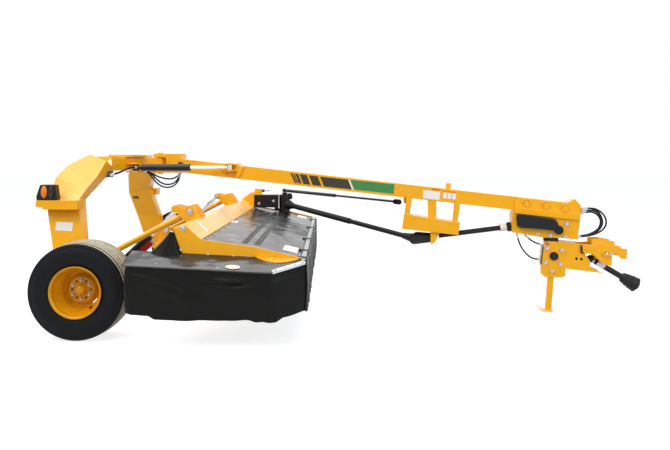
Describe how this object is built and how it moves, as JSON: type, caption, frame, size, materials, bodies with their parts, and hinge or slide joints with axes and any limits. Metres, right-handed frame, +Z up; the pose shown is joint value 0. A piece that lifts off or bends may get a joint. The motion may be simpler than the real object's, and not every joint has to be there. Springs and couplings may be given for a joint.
{
  "type": "disc mower",
  "caption": "Towed disc mower with a centre pivot tongue, arched carriage on two wheels, a curtained cutting header and a driveline to the hitch.",
  "frame": {"origin": "centre of the bounding box in plan, on the ground", "axes": "+X forward towards the hitch, +Y to the left of the machine, +Z up"},
  "size_m": [5.5024, 3.936, 1.526],
  "materials": {
    "frame_enamel": "gloss",
    "rim_enamel": "gloss",
    "red_paint": "gloss",
    "black_enamel": "satin",
    "black_vinyl": "satin",
    "black_plastic": "satin",
    "hose_rubber": "satin",
    "grey_plastic": "matte",
    "amber_lens": "gloss",
    "disc_steel": "satin",
    "chrome_rod": "polished",
    "tyre": "matte",
    "stripe_paint": "gloss",
    "green_paint": "gloss"
  },
  "bodies": {
    "carriage": {"arch_legs": "frame_enamel", "crossbeam": "frame_enamel", "valve_box": "grey_plastic", "rear_lamps": "black_plastic", "lamp_lenses": "amber_lens", "pivot_hose_1": "hose_rubber", "pivot_hose_2": "hose_rubber", "pivot_hose_3": "hose_rubber", "cylinder_hose": "hose_rubber"},
    "wheel_right": {"tyre_right": "tyre", "rim_right": "rim_enamel"},
    "wheel_left": {"tyre_left": "tyre", "rim_left": "rim_enamel"},
    "tongue": {"tongue": "frame_enamel", "mid_bracket": "frame_enamel", "tongue_stripes": "stripe_paint", "tongue_panels": "green_paint", "hitch_head": "frame_enamel", "drive_case": "black_plastic", "drive_covers": "black_plastic", "hitch_hose_1": "hose_rubber", "hitch_hose_2": "hose_rubber", "hitch_hose_3": "hose_rubber", "hitch_hose_4": "hose_rubber"},
    "swing_barrel": {"swing_barrel": "black_enamel"},
    "swing_rod": {"swing_rod": "chrome_rod"},
    "lift_links": {"lift_links": "frame_enamel"},
    "lift_barrels": {"lift_barrels": "black_enamel", "lock_valves": "red_paint"},
    "lift_rods": {"lift_rods": "chrome_rod"},
    "header": {"header_beam": "frame_enamel", "header_brackets": "frame_enamel", "end_plates": "frame_enamel", "top_cover": "black_vinyl", "end_shields": "black_vinyl", "side_curtains": "black_vinyl", "front_curtain": "black_vinyl", "cutterbar": "black_enamel", "gearbox_base": "black_enamel"},
    "disc_1": {"disc_1": "disc_steel"},
    "disc_2": {"disc_2": "disc_steel"},
    "disc_3": {"disc_3": "disc_steel"},
    "disc_4": {"disc_4": "disc_steel"},
    "disc_5": {"disc_5": "disc_steel"},
    "disc_6": {"disc_6": "disc_steel"},
    "disc_7": {"disc_7": "disc_steel"},
    "disc_8": {"disc_8": "disc_steel"},
    "disc_9": {"disc_9": "disc_steel"},
    "gearbox_head": {"gearbox_head": "black_enamel"},
    "guide_tube": {"guide_tube": "black_enamel"},
    "guide_rod": {"guide_rod": "black_enamel"},
    "drive_outer": {"rear_guard_outer": "black_plastic"},
    "drive_inner": {"rear_guard_inner": "black_plastic"},
    "drive_bell": {"rear_guard_bell": "black_plastic"},
    "hitch_swivel": {"lower_housing": "frame_enamel", "housing_hose_1": "hose_rubber", "housing_hose_2": "hose_rubber"},
    "stand": {"parking_stand": "frame_enamel"},
    "coupler": {"hitch_coupler": "frame_enamel"},
    "pto_shaft": {"pto_shaft": "black_plastic"}
  },
  "joints": [
    {"name": "wheel_right_spin", "type": "hinge", "parent": "carriage", "child": "wheel_right", "pos_m": [-2.194, -1.6, 0.3935], "axis": [0, 1, 0], "continuous": true},
    {"name": "wheel_left_spin", "type": "hinge", "parent": "carriage", "child": "wheel_left", "pos_m": [-2.194, 1.6, 0.3935], "axis": [0, 1, 0], "continuous": true},
    {"name": "tongue_swing", "type": "hinge", "parent": "carriage", "child": "tongue", "pos_m": [-2.021, 0, 1.476], "axis": [0, 0, 1], "range_deg": [-10, 24]},
    {"name": "swing_barrel_turn", "type": "hinge", "parent": "carriage", "child": "swing_barrel", "pos_m": [-2.191, -0.3, 1.368], "axis": [0, 0, 1], "range_deg": [-8.4, 19.46]},
    {"name": "swing_rod_slide", "type": "slide", "parent": "swing_barrel", "child": "swing_rod", "axis": [0.9991, 0.0415, 0], "range_m": [-0.0496, 0.1162]},
    {"name": "header_lift", "type": "hinge", "parent": "carriage", "child": "lift_links", "pos_m": [-2.231, 0, 0.567], "axis": [0, -1, 0], "range_deg": [-15.5, 2]},
    {"name": "header_level", "type": "hinge", "parent": "lift_links", "child": "header", "pos_m": [-1.439, 0, 0.98], "axis": [0, -1, 0], "range_deg": [-2.5, 16]},
    {"name": "lift_barrel_turn", "type": "hinge", "parent": "carriage", "child": "lift_barrels", "pos_m": [-2.191, 0, 0.42], "axis": [0, -1, 0], "range_deg": [-16.85, 2.61]},
    {"name": "lift_rod_slide", "type": "slide", "parent": "lift_barrels", "child": "lift_rods", "axis": [0.7275, 0, 0.6861], "range_m": [-0.0673, 0.0104]},
    {"name": "disc_1_spin", "type": "hinge", "parent": "header", "child": "disc_1", "pos_m": [-0.781, -1.472, 0.352], "axis": [0, 0, 1], "continuous": true},
    {"name": "disc_2_spin", "type": "hinge", "parent": "header", "child": "disc_2", "pos_m": [-0.781, -1.104, 0.352], "axis": [0, 0, 1], "continuous": true},
    {"name": "disc_3_spin", "type": "hinge", "parent": "header", "child": "disc_3", "pos_m": [-0.781, -0.736, 0.352], "axis": [0, 0, 1], "continuous": true},
    {"name": "disc_4_spin", "type": "hinge", "parent": "header", "child": "disc_4", "pos_m": [-0.781, -0.368, 0.352], "axis": [0, 0, 1], "continuous": true},
    {"name": "disc_5_spin", "type": "hinge", "parent": "header", "child": "disc_5", "pos_m": [-0.781, 0, 0.352], "axis": [0, 0, 1], "continuous": true},
    {"name": "disc_6_spin", "type": "hinge", "parent": "header", "child": "disc_6", "pos_m": [-0.781, 0.368, 0.352], "axis": [0, 0, 1], "continuous": true},
    {"name": "disc_7_spin", "type": "hinge", "parent": "header", "child": "disc_7", "pos_m": [-0.781, 0.736, 0.352], "axis": [0, 0, 1], "continuous": true},
    {"name": "disc_8_spin", "type": "hinge", "parent": "header", "child": "disc_8", "pos_m": [-0.781, 1.104, 0.352], "axis": [0, 0, 1], "continuous": true},
    {"name": "disc_9_spin", "type": "hinge", "parent": "header", "child": "disc_9", "pos_m": [-0.781, 1.472, 0.352], "axis": [0, 0, 1], "continuous": true},
    {"name": "gearbox_head_turn", "type": "hinge", "parent": "header", "child": "gearbox_head", "pos_m": [-0.791, 1.573, 0.862], "axis": [0, 0, 1], "range_deg": [-8.9, 20.66]},
    {"name": "rear_drive_tilt", "type": "hinge", "parent": "gearbox_head", "child": "drive_outer", "pos_m": [-0.791, 1.573, 0.862], "axis": [-0.7935, -0.5374, -0.2855], "range_deg": [-1.2, 5.89]},
    {"name": "rear_drive_slide", "type": "slide", "parent": "drive_outer", "child": "drive_inner", "axis": [0.579, -0.8112, -0.0821], "range_m": [-0.8228, 0.344]},
    {"name": "drive_bell_slide", "type": "slide", "parent": "drive_inner", "child": "drive_bell", "axis": [0.579, -0.8112, -0.0821], "range_m": [-0.0569, 0.0091]},
    {"name": "guide_tube_tilt", "type": "hinge", "parent": "gearbox_head", "child": "guide_tube", "pos_m": [-0.791, 1.573, 1.04], "axis": [-0.8038, -0.5199, -0.2892], "range_deg": [-1.22, 6.09]},
    {"name": "guide_rod_slide", "type": "slide", "parent": "guide_tube", "child": "guide_rod", "axis": [0.5452, -0.8383, -0.0081], "range_m": [-0.8084, 0.338]},
    {"name": "hitch_turn", "type": "hinge", "parent": "tongue", "child": "hitch_swivel", "pos_m": [1.9554, -0.69685, 0.655], "axis": [0, 0, 1], "range_deg": [-60, 60]},
    {"name": "stand_swing", "type": "hinge", "parent": "hitch_swivel", "child": "stand", "pos_m": [1.93438, -0.75307, 0.391], "axis": [0.1726, 0.985, 0], "range_deg": [0, 90]},
    {"name": "coupler_pitch", "type": "hinge", "parent": "hitch_swivel", "child": "coupler", "pos_m": [2.24893, -0.74829, 0.604], "axis": [0.1726, 0.985, 0], "range_deg": [-8, 8]},
    {"name": "pto_pitch", "type": "hinge", "parent": "hitch_swivel", "child": "pto_shaft", "pos_m": [2.31295, -0.75951, 0.5], "axis": [0.1726, 0.985, 0], "range_deg": [-25, 5]}
  ],
  "couplings": [
    {"joint": "swing_barrel_turn", "follows": "tongue_swing", "ratio": 0.79},
    {"joint": "swing_rod_slide", "follows": "tongue_swing", "m_per_rad": 0.27273},
    {"joint": "header_level", "follows": "header_lift", "ratio": -1},
    {"joint": "lift_barrel_turn", "follows": "header_lift", "ratio": 1.055},
    {"joint": "lift_rod_slide", "follows": "header_lift", "m_per_rad": 0.24122},
    {"joint": "disc_2_spin", "follows": "disc_1_spin", "ratio": -1},
    {"joint": "disc_3_spin", "follows": "disc_1_spin", "ratio": 1},
    {"joint": "disc_4_spin", "follows": "disc_1_spin", "ratio": -1},
    {"joint": "disc_5_spin", "follows": "disc_1_spin", "ratio": 1},
    {"joint": "disc_6_spin", "follows": "disc_1_spin", "ratio": -1},
    {"joint": "disc_7_spin", "follows": "disc_1_spin", "ratio": 1},
    {"joint": "disc_8_spin", "follows": "disc_1_spin", "ratio": -1},
    {"joint": "disc_9_spin", "follows": "disc_1_spin", "ratio": 1},
    {"joint": "gearbox_head_turn", "follows": "tongue_swing", "ratio": 0.84},
    {"joint": "rear_drive_tilt", "follows": "header_lift", "ratio": -0.348},
    {"joint": "rear_drive_slide", "follows": "tongue_swing", "m_per_rad": -1.9595},
    {"joint": "drive_bell_slide", "follows": "header_lift", "m_per_rad": 0.20304},
    {"joint": "guide_tube_tilt", "follows": "header_lift", "ratio": -0.3609},
    {"joint": "guide_rod_slide", "follows": "tongue_swing", "m_per_rad": -1.9251}
  ]
}
